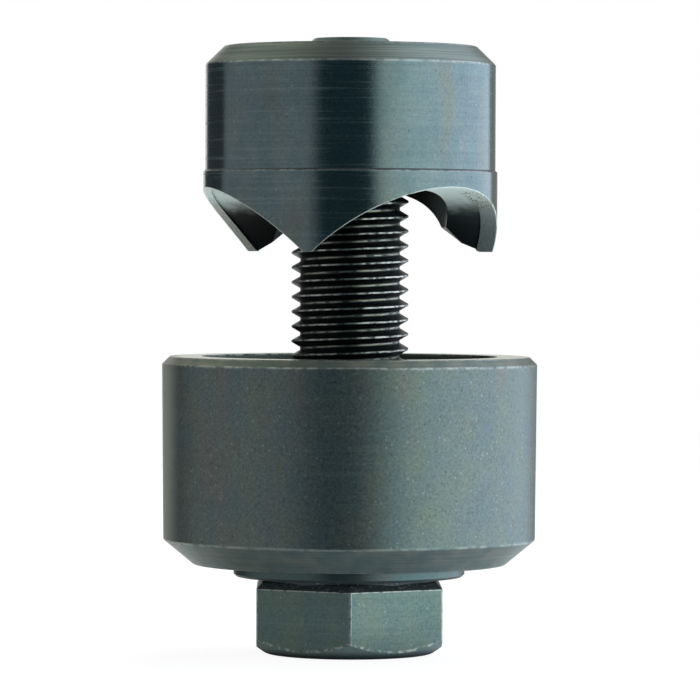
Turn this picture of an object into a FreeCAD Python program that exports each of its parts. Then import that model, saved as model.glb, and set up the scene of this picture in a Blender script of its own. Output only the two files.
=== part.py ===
import FreeCAD, Part
import Sketcher
import math
import os
import re

# A screw-driven round hole punch for sheet metal, standing on the hex head of its draw screw.
# Millimetres. Z is up along the screw, the origin is the middle of the head's lower face,
# and -Y is the side that faces the viewer.

doc = FreeCAD.newDocument("hole_punch")

# Driving sizes

SIZES = (
    # draw screw
    ("head_flats", 18.82, "hex head across flats"),
    ("head_height", 7.5, "hex head, without its washer face"),
    ("head_turn", 0.75, "degrees that the front corner of the head stands turned"),
    ("head_corner_round", 0.25, "rounding of the head's six upright corners"),
    ("head_rim_inset", 0.92, "how far the flat circle on the lower face lies inside the flats"),
    ("head_rim_angle", 35.0, "slope of the chamfer round the head's lower face, degrees"),
    ("head_rim_round", 1.2, "rounding between the lower face and its chamfer"),
    ("head_top_bevel", 0.6, "bevel along the head's six upper edges"),
    ("washer_face_inset", 0.51, "how far the raised face for the bearing lies inside the flats"),
    ("washer_face_height", 0.4, "height of that raised face"),
    ("shank_length", 54.8, "screw length above the washer face"),
    ("shank_radius", 6.0, "plain shank through the bearing and the die's web"),
    ("shank_plain", 10.6, "length of the plain shank above the washer face"),
    ("thread_pitch", 1.5, "thread rise in one turn"),
    ("thread_radius", 5.96, "crest radius of the screw thread"),
    ("thread_depth", 0.88, "depth of the screw thread"),
    ("thread_phase", 1.1, "height of a crest at +X, within one pitch"),
    ("thread_play", 0.08, "clearance between the flanks of screw and punch"),
    ("thread_root_play", 0.12, "clearance between the screw's crests and the punch's thread"),
    ("thread_rooting", 0.1, "how deep a thread ridge is rooted in its core"),
    ("tip_radius", 3.7, "flat on the screw's end"),
    ("tip_slope", 40.0, "slope of the cone at the screw's end, degrees"),
    # edges
    ("ground_edge", 0.1, "rounding of the punch's ground outer edges"),
    ("worn_edge", 0.15, "rounding of the edges that are hardly broken"),
    ("soft_edge", 0.3, "rounding of the edges that are filed over"),
    # thrust bearing
    ("race_radius", 11.8, "outer radius of the lower race"),
    ("race_bore_radius", 6.15, "bore radius of both races"),
    ("race_thickness", 2.2, "thickness of a race"),
    ("race_edge", 0.25, "chamfer on the races' edges"),
    ("ball_diameter", 3.175, "bearing ball"),
    ("ball_circle_radius", 9.0, "circle that the ball centres lie on"),
    ("ball_count", 12, "balls in the bearing"),
    ("track_depth", 0.45, "depth of the ball track in a race"),
    ("track_radius", 1.66, "radius of the ball track's section"),
    ("track_play", 0.02, "clearance between a ball and each track"),
    ("cage_inner_radius", 6.5, "bore radius of the ball cage"),
    ("cage_outer_radius", 11.4, "outer radius of the ball cage"),
    ("cage_thickness", 1.3, "thickness of the ball cage"),
    ("cage_pocket_play", 0.1, "clearance round a ball in its pocket"),
    # die
    ("bearing_proud", 1.25, "how far the lower race stands out of the die"),
    ("race_seat_play", 0.03, "clearance round the upper race in its seat"),
    ("race_running_play", 0.3, "clearance round the lower race, which turns in the die"),
    ("die_height", 21.15, "die from its base to its cutting face"),
    ("die_radius", 19.13, "die outside, just under its cutting face"),
    ("die_taper", 0.16, "how much smaller the outside is at its lower edge"),
    ("die_top_bevel", 0.78, "bevel round the cutting face"),
    ("die_base_radius", 15.95, "flat under the die"),
    ("die_base_bevel", 2.5, "height of the bevel round the die's base"),
    ("die_play", 0.1, "cutting clearance between punch and die"),
    ("cup_depth", 11.5, "depth of the cup that takes the slug"),
    ("cup_land", 5.0, "height of the cutting land in the cup"),
    ("cup_relief", 0.25, "how much wider the cup is below its land"),
    ("web_hole_radius", 6.35, "screw clearance hole in the die's web"),
    # punch
    ("draw_gap", 10.7, "sheet gap between the die and the tooth tips, as it stands"),
    ("punch_height", 20.9, "punch from tooth tips to top face"),
    ("punch_radius", 15.0, "radius of the cutting land"),
    ("punch_land", 8.27, "height of the cutting land above the tooth tips"),
    ("punch_neck", 0.2, "how much slimmer the punch is above its cutting land"),
    ("punch_top_bevel", 1.9, "height of the bevel round the punch's top"),
    ("punch_top_radius", 12.85, "flat top face of the punch"),
    ("throat_radius", 9.9, "hollow inside the cutting edge"),
    ("throat_depth", 8.0, "hollow, from the tooth tips up to its floor"),
    ("throat_mouth_radius", 12.8, "hollow at the tooth tips"),
    ("throat_mouth_height", 2.5, "height of the cone in the hollow's mouth"),
    ("tooth_count", 3, "cutting teeth"),
    ("first_hollow_angle", -46.5, "direction of the first hollow ground between the teeth"),
    ("hollow_apex", 5.4, "height above the tooth tips of the ground cone's apex"),
    ("hollow_tilt", 50.8, "slope of the ground cone's axis below level, degrees"),
    ("hollow_half_angle", 54.65, "half angle of the ground cone, degrees"),
    ("edge_land", 1.28, "mean width of the ground land behind the cutting edge"),
    ("land_bias", 0.42, "how much wider the land is at +X, and narrower at -X"),
    ("edge_relief", 0.12, "how deep the hollow is relieved inside that land"),
    ("tap_bore_radius", 5.19, "tapped hole, measured to the crests of its thread"),
    ("tap_bevel", 0.9, "countersink at both ends of the tapped hole"),
    ("tool_margin", 1.0, "how far a cutting outline runs past the metal"),
)

sheet = doc.addObject("Spreadsheet::Sheet", "sizes")
for row, (alias, value, meaning) in enumerate(SIZES, start=1):
    sheet.set(f"A{row}", meaning)
    sheet.set(f"B{row}", str(value))
    sheet.setAlias(f"B{row}", alias)
doc.recompute()
ALIASES = {alias for alias, _, _ in SIZES}


def linked(text):
    """Turn plain size names in an expression into references to the sheet."""
    return re.sub(r"[a-z_]+", lambda m: f"<<sizes>>.{m[0]}" if m[0] in ALIASES else m[0], text)


def size(text):
    """The present value of an expression of sizes."""
    return float(sheet.evalExpression(linked(text)))


def bind(thing, **expressions):
    """Bind properties of an object to expressions of sizes."""
    for prop, text in expressions.items():
        thing.setExpression(prop.replace("__", "."), linked(text))
    return thing


# Heights that several pieces share, as expressions of the driving sizes

SEAT_Z = "(head_height + washer_face_height)"
TRACK_GAP = "(ball_diameter - 2 * track_depth + 2 * track_play)"
UPPER_RACE_Z = f"({SEAT_Z} + race_thickness + {TRACK_GAP})"
BALL_Z = f"({SEAT_Z} + race_thickness + {TRACK_GAP} / 2)"
DIE_Z = f"({SEAT_Z} + bearing_proud)"
DIE_TOP = f"({DIE_Z} + die_height)"
SEAT_TOP = f"({UPPER_RACE_Z} + race_thickness)"
CUP_Z = f"({DIE_TOP} - cup_depth)"
TIP_Z = f"({DIE_TOP} + draw_gap)"
PUNCH_TOP = f"({TIP_Z} + punch_height)"
SCREW_TOP = f"({SEAT_Z} + shank_length)"
SHANK_TOP = f"({SEAT_Z} + shank_plain)"
ROOT = "(thread_radius - thread_depth)"
HEAD_RIM = "(head_flats / 2 - head_rim_inset)"
WASHER_FACE = "(head_flats / 2 - washer_face_inset)"
HOLLOW_LENGTH = "(punch_radius / cos(hollow_tilt))"
SEAT_RADIUS = "(race_radius + race_running_play)"
UPPER_RACE_RADIUS = f"({SEAT_RADIUS} - race_seat_play)"


# Helpers for sketches and features


def origin_plane(body, role):
    """The origin plane of a body with this role."""
    return next(f for f in body.Origin.OriginFeatures if f.Role == role)


def new_body(name):
    """An empty body."""
    return doc.addObject("PartDesign::Body", name)


def new_sketch(body, name, role="XZ_Plane"):
    """A sketch on one of the body's own origin planes."""
    sketch = body.newObject("Sketcher::SketchObject", name)
    sketch.AttachmentSupport = [(origin_plane(body, role), "")]
    sketch.MapMode = "FlatFace"
    return sketch


def place_point(sketch, geo, pos, x_text, y_text):
    """Hold one sketch point at expressions of sizes."""
    for kind, text, axis in (("DistanceX", x_text, -2), ("DistanceY", y_text, -1)):
        if text == "0":
            sketch.addConstraint(Sketcher.Constraint("PointOnObject", geo, pos, axis))
            continue
        index = sketch.addConstraint(Sketcher.Constraint(kind, -1, 1, geo, pos, size(text)))
        sketch.setExpression(f"Constraints[{index}]", linked(text))


def outline(sketch, corners):
    """A closed outline of straight lines through corners given as pairs of expressions."""
    points = [FreeCAD.Vector(size(x), size(y), 0) for x, y in corners]
    count = len(points)
    first = sketch.GeometryCount
    for i in range(count):
        sketch.addGeometry(Part.LineSegment(points[i], points[(i + 1) % count]), False)
    for i in range(count):
        after = first + (i + 1) % count
        sketch.addConstraint(Sketcher.Constraint("Coincident", first + i, 2, after, 1))
        place_point(sketch, first + i, 1, *corners[i])


def ring_sketch(sketch, x_text, y_text, radius_text):
    """A circle held at a place and a radius."""
    centre = FreeCAD.Vector(size(x_text), size(y_text), 0)
    circle = Part.Circle(centre, FreeCAD.Vector(0, 0, 1), size(radius_text))
    geo = sketch.addGeometry(circle, False)
    place_point(sketch, geo, 3, x_text, y_text)
    index = sketch.addConstraint(Sketcher.Constraint("Radius", geo, size(radius_text)))
    sketch.setExpression(f"Constraints[{index}]", linked(radius_text))


def turned(body, kind, name, sketch):
    """A full revolution or groove of a sketch about the upright axis."""
    feature = body.newObject(f"PartDesign::{kind}", name)
    feature.Profile = sketch
    feature.ReferenceAxis = (sketch, ["V_Axis"])
    feature.Angle = 360.0
    sketch.Visibility = False
    return feature


def turned_body(name, corners):
    """A body turned from one outline in the upright plane."""
    body = new_body(name)
    sketch = new_sketch(body, f"{name}_profile")
    outline(sketch, corners)
    turned(body, "Revolution", f"{name}_turned", sketch)
    return body


def circles_at(shape, circles):
    """Names of a shape's upright-axis circles at given pairs of radius and height."""
    found = []
    for radius_text, height_text in circles:
        radius = size(radius_text)
        height = size(height_text)
        found += [
            f"Edge{i}"
            for i, edge in enumerate(shape.Edges, start=1)
            if isinstance(edge.Curve, Part.Circle)
            and abs(edge.Curve.Radius - radius) < 1e-6
            and abs(edge.Curve.Center.z - height) < 1e-6
        ]
    return found


def rounded(body, name, circles, radius_text):
    """Round a body's circular edges at given pairs of radius and height."""
    doc.recompute()
    base = body.Tip
    feature = body.newObject("PartDesign::Fillet", name)
    feature.Base = (base, circles_at(base.Shape, circles))
    bind(feature, Radius=radius_text)
    return feature


def boolean(kind, name, base, tool):
    """One Part boolean of two objects."""
    result = doc.addObject(f"Part::{kind}", name)
    result.Base = base
    result.Tool = tool
    return result


# Threads


def thread_ridge(name, start_text, length_text, crest_text, foot_text, crest_width_text):
    """A right-handed 60 degree ridge, wound on a helix whose crest passes +X at the thread's phase."""
    spine = doc.addObject("Part::Helix", f"{name}_helix")
    first_turn = f"(floor(({start_text} - thread_phase) / thread_pitch) * thread_pitch + thread_phase)"
    bind(spine, Pitch="thread_pitch", Height=length_text, Radius=foot_text)
    spine.SegmentLength = 1.0
    bind(spine, Placement__Base__z=first_turn)
    section = doc.addObject("Sketcher::SketchObject", f"{name}_section")
    section.Placement = FreeCAD.Placement(FreeCAD.Vector(), FreeCAD.Rotation(FreeCAD.Vector(1, 0, 0), 90))
    rise = f"(({crest_text} - {foot_text}) * tan(30))"
    foot_half = f"({crest_width_text} / 2 + {rise})"
    outline(
        section,
        (
            (foot_text, f"{first_turn} - {foot_half}"),
            (crest_text, f"{first_turn} - {crest_width_text} / 2"),
            (crest_text, f"{first_turn} + {crest_width_text} / 2"),
            (foot_text, f"{first_turn} + {foot_half}"),
        ),
    )
    ridge = doc.addObject("Part::Sweep", name)
    ridge.Sections = [section]
    ridge.Spine = (spine, [])
    ridge.Solid = True
    ridge.Frenet = True
    return ridge


# Draw screw: hex head, washer face, plain shank and thread


def make_draw_screw():
    """The screw that carries the bearing and die and draws the punch down."""
    body = new_body("screw_blank")
    hexagon = new_sketch(body, "head_outline", "XY_Plane")
    corner = "(head_flats / 2 / cos(30))"
    outline(
        hexagon,
        [
            (f"{corner} * cos({60 * i - 90} + head_turn)", f"{corner} * sin({60 * i - 90} + head_turn)")
            for i in range(6)
        ],
    )
    pad = body.newObject("PartDesign::Pad", "head_pad")
    pad.Profile = hexagon
    bind(pad, Length="head_height")
    doc.recompute()

    top = size("head_height")
    upper = [
        f"Edge{i}"
        for i, edge in enumerate(pad.Shape.Edges, start=1)
        if all(abs(v.Z - top) < 1e-6 for v in edge.Vertexes)
    ]
    bevel = body.newObject("PartDesign::Chamfer", "head_top_bevel_cut")
    bevel.Base = (pad, upper)
    bind(bevel, Size="head_top_bevel")
    doc.recompute()
    upright = [
        f"Edge{i}"
        for i, edge in enumerate(bevel.Shape.Edges, start=1)
        if abs(edge.Vertexes[0].Z - edge.Vertexes[-1].Z) > 1e-6
    ]
    corners = body.newObject("PartDesign::Fillet", "head_corner_rounding")
    corners.Base = (bevel, upright)
    bind(corners, Radius="head_corner_round")
    doc.recompute()

    reach = f"({corner} + tool_margin)"
    rim = new_sketch(body, "head_rim_profile")
    outline(
        rim,
        (
            (HEAD_RIM, "0"),
            (reach, f"({reach} - {HEAD_RIM}) * tan(head_rim_angle)"),
            (reach, "-tool_margin"),
            (HEAD_RIM, "-tool_margin"),
        ),
    )
    turned(body, "Groove", "head_rim_cut", rim)
    rounded(body, "head_rim_rounding", [(HEAD_RIM, "0")], "head_rim_round")
    doc.recompute()

    shank = new_sketch(body, "shank_profile")
    outline(
        shank,
        (
            ("0", "head_height / 2"),
            (WASHER_FACE, "head_height / 2"),
            (WASHER_FACE, SEAT_Z),
            ("shank_radius", SEAT_Z),
            ("shank_radius", SHANK_TOP),
            (ROOT, f"{SHANK_TOP} + shank_radius - {ROOT}"),
            (ROOT, f"{SCREW_TOP} - ({ROOT} - tip_radius) * tan(tip_slope)"),
            ("tip_radius", SCREW_TOP),
            ("0", SCREW_TOP),
        ),
    )
    turned(body, "Revolution", "shank_turned", shank)

    start = f"({SHANK_TOP} - thread_pitch)"
    ridge = thread_ridge(
        "screw_ridge",
        start,
        f"({SCREW_TOP} - {start} + 2 * thread_pitch)",
        "thread_radius",
        f"({ROOT} - thread_rooting)",
        "(thread_pitch / 8)",
    )
    cone_foot = "(thread_radius + tool_margin)"
    trim = turned_body(
        "screw_tip_trim",
        (
            ("0", f"{start} - 3 * thread_pitch"),
            (cone_foot, f"{start} - 3 * thread_pitch"),
            (cone_foot, f"{SCREW_TOP} - ({cone_foot} - tip_radius) * tan(tip_slope)"),
            ("tip_radius", SCREW_TOP),
            ("0", SCREW_TOP),
        ),
    )
    trimmed = boolean("Common", "screw_ridge_trimmed", ridge, trim)
    screw = boolean("Fuse", "draw_screw", body, trimmed)
    return screw


# Thrust ball bearing between the head and the die


def make_race(name, foot_text, outer_text, track_side):
    """One race: a flat ring with a ball track in its upper or lower face."""
    top_text = f"({foot_text} + race_thickness)"
    body = turned_body(
        name,
        (
            ("race_bore_radius + race_edge", foot_text),
            (f"{outer_text} - race_edge", foot_text),
            (outer_text, f"{foot_text} + race_edge"),
            (outer_text, f"{top_text} - race_edge"),
            (f"{outer_text} - race_edge", top_text),
            ("race_bore_radius + race_edge", top_text),
            ("race_bore_radius", f"{top_text} - race_edge"),
            ("race_bore_radius", f"{foot_text} + race_edge"),
        ),
    )
    track = new_sketch(body, f"{name}_track_profile")
    centre = {
        "upper": f"{top_text} - track_depth + track_radius",
        "lower": f"{foot_text} + track_depth - track_radius",
    }[track_side]
    ring_sketch(track, "ball_circle_radius", centre, "track_radius")
    turned(body, "Groove", f"{name}_track", track)
    return body


def make_ball_cage():
    """A flat ring with a pocket for each ball, halfway between the races."""
    body = new_body("ball_cage")
    ring = new_sketch(body, "cage_outline", "XY_Plane")
    bind(ring, AttachmentOffset__Base__z=f"{BALL_Z} - cage_thickness / 2")
    ring_sketch(ring, "0", "0", "cage_outer_radius")
    ring_sketch(ring, "0", "0", "cage_inner_radius")
    pad = body.newObject("PartDesign::Pad", "cage_pad")
    pad.Profile = ring
    bind(pad, Length="cage_thickness")
    pocket_sketch = new_sketch(body, "cage_pocket_outline", "XY_Plane")
    bind(pocket_sketch, AttachmentOffset__Base__z=BALL_Z)
    ring_sketch(pocket_sketch, "ball_circle_radius", "0", "(ball_diameter / 2 + cage_pocket_play)")
    pocket = body.newObject("PartDesign::Pocket", "cage_pocket")
    pocket.Profile = pocket_sketch
    pocket.Midplane = True
    bind(pocket, Length="2 * cage_thickness")
    doc.recompute()
    pattern = body.newObject("PartDesign::PolarPattern", "cage_pockets")
    pattern.Originals = [pocket]
    pattern.Axis = (pocket_sketch, ["N_Axis"])
    pattern.Angle = 360.0
    bind(pattern, Occurrences="ball_count")
    body.Tip = pattern
    return body


def make_ball(index, count):
    """One ball, in its place on the ball circle."""
    turn = 360.0 * index / count
    ball = doc.addObject("Part::Sphere", f"ball_{index + 1:02d}")
    bind(
        ball,
        Radius="ball_diameter / 2",
        Placement__Base__x=f"ball_circle_radius * cos({turn})",
        Placement__Base__y=f"ball_circle_radius * sin({turn})",
        Placement__Base__z=BALL_Z,
    )
    return ball


# Die: the cup that takes the slug, with the bearing's seat in its base


def make_die():
    """The die, turned from one outline, with its outer edges rounded."""
    cup_radius = "(punch_radius + die_play)"
    base_side = "(die_radius - die_taper)"
    base_bevel_top = (base_side, f"{DIE_Z} + die_base_bevel")
    top_bevel_foot = ("die_radius", f"{DIE_TOP} - die_top_bevel")
    top_bevel_head = ("die_radius - die_top_bevel", DIE_TOP)
    body = turned_body(
        "die",
        (
            (SEAT_RADIUS, DIE_Z),
            ("die_base_radius", DIE_Z),
            base_bevel_top,
            top_bevel_foot,
            top_bevel_head,
            (cup_radius, DIE_TOP),
            (cup_radius, f"{DIE_TOP} - cup_land"),
            (f"{cup_radius} + cup_relief", f"{DIE_TOP} - cup_land - cup_relief"),
            (f"{cup_radius} + cup_relief", CUP_Z),
            ("web_hole_radius", CUP_Z),
            ("web_hole_radius", SEAT_TOP),
            (SEAT_RADIUS, SEAT_TOP),
        ),
    )
    rounded(body, "die_top_rounding", [top_bevel_foot, top_bevel_head], "worn_edge")
    rounded(body, "die_base_rounding", [base_bevel_top, ("die_base_radius", DIE_Z)], "soft_edge")
    return body


# Punch: three ground teeth round a hollow, and a tapped hole right through


def hollow_cone(name, index, count, lift):
    """The cone that a grinding wheel sweeps between two teeth, its apex on the punch's axis."""
    turn = math.radians(size("first_hollow_angle") + 360.0 * index / count)
    level = FreeCAD.Vector(-math.sin(turn), math.cos(turn), 0)
    cone = doc.addObject("Part::Cone", name)
    cone.Placement = FreeCAD.Placement(FreeCAD.Vector(), FreeCAD.Rotation(level, 90))
    bind(
        cone,
        Radius1="0",
        Height=HOLLOW_LENGTH,
        Radius2=f"{HOLLOW_LENGTH} * tan(hollow_half_angle)",
        Placement__Rotation__Angle="90 + hollow_tilt",
        Placement__Base__z=f"{TIP_Z} + hollow_apex + {lift}",
    )
    return cone


def hollow_rims(shape):
    """Numbers of the curved edges that climb the punch's side between its teeth."""
    radius = size("punch_radius")
    found = []
    for i, edge in enumerate(shape.Edges, start=1):
        points = edge.discretize(9)
        heights = [point.z for point in points]
        on_side = all(abs(math.hypot(point.x, point.y) - radius) < 1e-4 for point in points)
        climbs = max(heights) - min(heights) > size("punch_neck")
        if on_side and climbs and not isinstance(edge.Curve, Part.Line):
            found.append(i)
    return found


def make_punch():
    """The punch, turned, ground between its teeth and tapped."""
    neck_radius = "(punch_radius - punch_neck)"
    mouth = "(tap_bore_radius + tap_bevel)"
    throat_top = f"({TIP_Z} + throat_depth)"
    top_bevel_foot = (neck_radius, f"{PUNCH_TOP} - punch_top_bevel")
    top_bevel_head = ("punch_top_radius", PUNCH_TOP)
    land_edge = ("punch_radius", f"{TIP_Z} + punch_land - punch_neck")
    blank = turned_body(
        "punch_blank",
        (
            ("throat_mouth_radius", TIP_Z),
            ("punch_radius", TIP_Z),
            land_edge,
            (neck_radius, f"{TIP_Z} + punch_land"),
            top_bevel_foot,
            top_bevel_head,
            (mouth, PUNCH_TOP),
            ("tap_bore_radius", f"{PUNCH_TOP} - tap_bevel"),
            ("tap_bore_radius", f"{throat_top} + tap_bevel"),
            (mouth, throat_top),
            ("throat_radius", throat_top),
            ("throat_radius", f"{TIP_Z} + throat_mouth_height"),
        ),
    )
    rounded(blank, "punch_top_rounding", [top_bevel_foot, top_bevel_head], "soft_edge")
    rounded(blank, "punch_land_rounding", [land_edge], "worn_edge")

    inner = doc.addObject("Part::Cylinder", "relief_limit")
    bind(
        inner,
        Radius="punch_radius - edge_land",
        Height="2 * punch_land",
        Placement__Base__x="-land_bias",
        Placement__Base__z=f"{TIP_Z} - punch_land",
    )
    ground = blank
    raised = "edge_relief / sin(hollow_half_angle)"
    count = int(size("tooth_count"))
    for index in range(count):
        hollow = hollow_cone(f"hollow_{index + 1}", index, count, "0")
        ground = boolean("Cut", f"hollow_cut_{index + 1}", ground, hollow)
        deeper = hollow_cone(f"relief_{index + 1}", index, count, raised)
        relief = boolean("Common", f"relief_tool_{index + 1}", deeper, inner)
        ground = boolean("Cut", f"relief_cut_{index + 1}", ground, relief)
    doc.recompute()
    softened = doc.addObject("Part::Fillet", "ground_edge_rounding")
    softened.Base = ground
    edge_radius = size("ground_edge")
    softened.Edges = [(i, edge_radius, edge_radius) for i in hollow_rims(ground.Shape)]

    widening = "(thread_play / cos(30) - thread_root_play * tan(30))"
    ridge = thread_ridge(
        "tap_ridge",
        f"({throat_top} - 2 * thread_pitch)",
        "(punch_height - throat_depth + 4 * thread_pitch)",
        "(thread_radius + thread_root_play)",
        "(tap_bore_radius - thread_rooting)",
        f"(thread_pitch / 8 + 2 * {widening})",
    )
    return boolean("Cut", "punch", softened, ridge)


# The assembly

draw_screw = make_draw_screw()
lower_race = make_race("bearing_lower_race", SEAT_Z, "race_radius", "upper")
upper_race = make_race("bearing_upper_race", UPPER_RACE_Z, UPPER_RACE_RADIUS, "lower")
ball_cage = make_ball_cage()
ball_total = int(size("ball_count"))
balls = [make_ball(index, ball_total) for index in range(ball_total)]
die = make_die()
punch = make_punch()
doc.recompute()

SUB_PARTS = [draw_screw, lower_race, upper_race, ball_cage, *balls, die, punch]
for part in SUB_PARTS:
    part.Label = part.Name

for thing in doc.Objects:
    if "Invalid" in thing.State or "Error" in thing.State:
        raise RuntimeError(f"{thing.Name} failed: {thing.State}")
for part in SUB_PARTS:
    if part.Shape.isNull() or not part.Shape.isValid() or len(part.Shape.Solids) != 1:
        raise RuntimeError(f"{part.Label} is not one valid solid")

os.makedirs("parts", exist_ok=True)
for part in SUB_PARTS:
    part.Shape.exportStep(f"parts/{part.Label}.step")
    print(f"{part.Label}: {part.Shape.Volume:.1f} mm3")
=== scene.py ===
"""Looks of a screw-driven round hole punch for sheet metal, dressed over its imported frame.

The punch stands on the hex head of its draw screw. Every piece of it is a turned or ground
steel part, so the frame's own solids stay, and each gets a finish that knows where its
bevels, lands and edges lie. All node trees work in millimetres on Object coordinates.
"""

import logging
import math
from dataclasses import dataclass
from enum import Enum

import bmesh
import bpy
from bpy.types import Material, Node, NodeSocket, Object, World
from mathutils import Matrix, Vector

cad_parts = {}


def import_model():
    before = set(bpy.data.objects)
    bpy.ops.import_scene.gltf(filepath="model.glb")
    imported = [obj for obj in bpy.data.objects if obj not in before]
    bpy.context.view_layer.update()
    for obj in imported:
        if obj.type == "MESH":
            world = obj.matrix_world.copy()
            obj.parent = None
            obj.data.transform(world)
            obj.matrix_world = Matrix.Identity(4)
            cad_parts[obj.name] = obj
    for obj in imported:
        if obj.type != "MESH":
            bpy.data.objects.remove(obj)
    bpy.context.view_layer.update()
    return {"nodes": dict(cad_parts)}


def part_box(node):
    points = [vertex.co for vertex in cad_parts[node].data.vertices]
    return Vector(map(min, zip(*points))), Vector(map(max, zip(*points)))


LOG = logging.getLogger("hole_punch")

MM = 0.001
PER_MM = 1.0 / MM

# A quarter turn of the shader's smear points it along the axis, across the turning lines
SMEAR_UPRIGHT = 0.25

Colour = tuple[float, float, float]
Place = tuple[float, float, float]
Tones = tuple[Colour, Colour]
Value = float | NodeSocket
Stops = tuple[tuple[float, Colour], ...]


class Maths(Enum):
    """The arithmetic that the finishes use."""

    ADD = "ADD"
    LESS = "SUBTRACT"
    TIMES = "MULTIPLY"
    OVER = "DIVIDE"
    ROOT = "SQRT"
    SIZE = "ABSOLUTE"
    HIGHEST = "MAXIMUM"
    ANGLE = "ARCTAN2"
    PART = "FRACT"


class VectorMaths(Enum):
    """The steps on vectors that the finishes use."""

    LESS = "SUBTRACT"
    TIMES = "MULTIPLY"
    SCALED = "SCALE"
    LENGTH = "LENGTH"
    ALONG = "DOT_PRODUCT"


class Side(Enum):
    """Which way a surface faces, as the range of its normal's upright part."""

    UP = (0.9, 1.1)
    UPPER_BEVEL = (0.35, 0.9)
    UNDERCUT = (-1.1, -0.2)


@dataclass(frozen=True)
class Edge:
    """A turned edge: a circle about the axis, in millimetres.

    Attributes:
        radius: Radius of the circle.
        height: Height of the circle above the floor.
        width: How far the wear reaches from the edge.
        strength: How bare the metal is there, from 0 to 1.
    """

    radius: float
    height: float
    width: float
    strength: float


@dataclass(frozen=True)
class BlackenedSteel:
    """A blackened steel surface.

    Attributes:
        name: Name of the material.
        tones: Colours from the darkest patches to the palest.
        stain: Colour of the faint stains.
        roughness: Roughness of the plain surface.
        line_relief: Height of the turning lines, in millimetres.
        line_tone: How much the turning lines change the tone.
        line_haze: How much rougher the turning lines are.
        grain: How much the fine grain changes the tone.
        specks: Share of the spots that are pale specks, and as many are dark pits, from 0 to 0.5.
        stained: How strong the stains are, from 0 to 1.
        smear: How much the turning lines draw reflections out along the axis, from 0 to 1.
        grain_relief: Height of the fine grain, in millimetres.
        bare: Colour of the metal where an edge is worn.
        pitted: Colour of the dark pits.
    """

    name: str
    tones: Stops
    stain: Colour
    roughness: float
    line_relief: float
    line_tone: float
    line_haze: float
    grain: float
    specks: float
    stained: float = 0.6
    smear: float = 0.0
    grain_relief: float = 0.004
    bare: Colour = (0.5, 0.53, 0.5)
    pitted: Colour = (0.05, 0.07, 0.08)


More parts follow.
